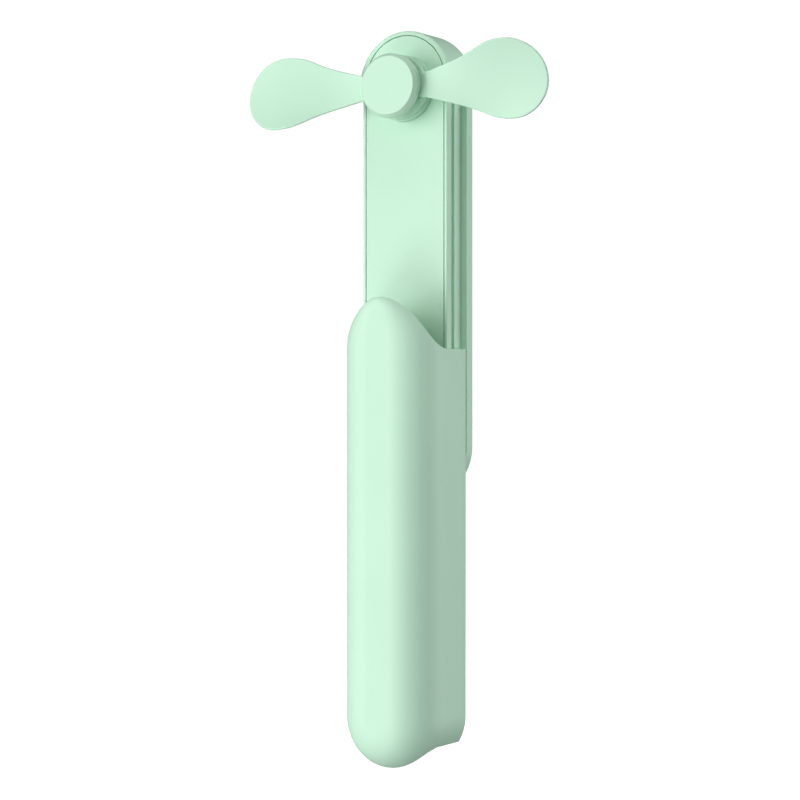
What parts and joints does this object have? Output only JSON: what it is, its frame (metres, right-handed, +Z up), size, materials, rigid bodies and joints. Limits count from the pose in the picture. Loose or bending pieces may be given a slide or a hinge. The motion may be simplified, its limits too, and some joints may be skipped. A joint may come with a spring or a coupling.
{
  "type": "handheld electric fan",
  "caption": "Slim pocket fan with two folding paddle blades on a hub and a rounded cover that slides down to form the handle and up to shut over the blades.",
  "frame": {"origin": "on the flat back face, at the centre of the housing's lower rounded end, where a hand grips it", "axes": "+Z up along the housing to the fan head, +X to the right seen from the front, +Y out of the back face (the front faces -Y)"},
  "size_m": [0.1078, 0.0342, 0.235],
  "materials": {
    "body_mint": "soft matt moulded plastic with a fine even grain",
    "cover_mint": "soft matt moulded plastic with a fine even grain",
    "hub_mint": "soft matt moulded plastic",
    "blade_mint": "flexible matt plastic, slightly waxy",
    "button_mint": "matt moulded plastic",
    "runner_plastic": "low-friction plastic, satin",
    "window": "frosted light guide",
    "pin_steel": "ground",
    "screw_steel": "zinc plated",
    "can_steel": "drawn and plated",
    "magnet": "sintered ferrite",
    "armature": "laminated core",
    "bearing_brass": "sintered bronze",
    "black_plastic": "moulded",
    "cell_pouch": "laminated pouch",
    "foam": "closed-cell foam",
    "board": "solder-masked laminate",
    "led": "clear cap",
    "socket_steel": "drawn stainless",
    "lead_sheath": "insulated wire"
  },
  "bodies": {
    "housing": {"front_housing": "body_mint", "front_panel": "body_mint", "rear_cover": "body_mint", "motor_collar": "body_mint", "housing_screws": "screw_steel", "motor_screws": "screw_steel", "board_screws": "screw_steel", "motor_can": "can_steel", "motor_magnets": "magnet", "motor_bearing": "bearing_brass", "motor_end_cap": "black_plastic", "battery_pack": "cell_pouch", "battery_pad_front": "foam", "battery_pad_rear": "foam", "control_board": "board", "board_chips": "black_plastic", "tact_switch": "black_plastic", "status_led": "led", "indicator_window": "window", "usb_socket": "socket_steel", "motor_leads": "lead_sheath", "battery_leads": "lead_sheath"},
    "runners": {"runner_left": "runner_plastic", "runner_right": "runner_plastic"},
    "cover": {"sliding_cover": "cover_mint"},
    "rotor": {"hub_base": "hub_mint", "hub_cap": "hub_mint", "blade_pin_left": "pin_steel", "blade_pin_right": "pin_steel", "motor_shaft": "pin_steel", "motor_armature": "armature"},
    "left_blade": {"blade_left": "blade_mint"},
    "right_blade": {"blade_right": "blade_mint"},
    "button": {"power_button": "button_mint"}
  },
  "joints": [
    {"name": "runner_slide", "type": "slide", "parent": "housing", "child": "runners", "axis": [0, 0, 1], "range_m": [0, 0.025]},
    {"name": "cover_slide", "type": "slide", "parent": "runners", "child": "cover", "axis": [0, 0, 1], "range_m": [0, 0.061]},
    {"name": "rotor_spin", "type": "hinge", "parent": "housing", "child": "rotor", "pos_m": [0, -0.0238, 0.1146], "axis": [0, -1, 0], "continuous": true},
    {"name": "blade_left_fold", "type": "hinge", "parent": "rotor", "child": "left_blade", "pos_m": [-0.006, -0.0238, 0.1146], "axis": [0, -1, 0], "range_deg": [0, 95]},
    {"name": "blade_right_fold", "type": "hinge", "parent": "rotor", "child": "right_blade", "pos_m": [0.006, -0.0238, 0.1146], "axis": [0, 1, 0], "range_deg": [0, 99.7]},
    {"name": "button_press", "type": "slide", "parent": "housing", "child": "button", "axis": [0, -1, 0], "range_m": [0, 0.0006], "stiffness_N_per_m": 1000, "springref_m": -0.0003}
  ]
}
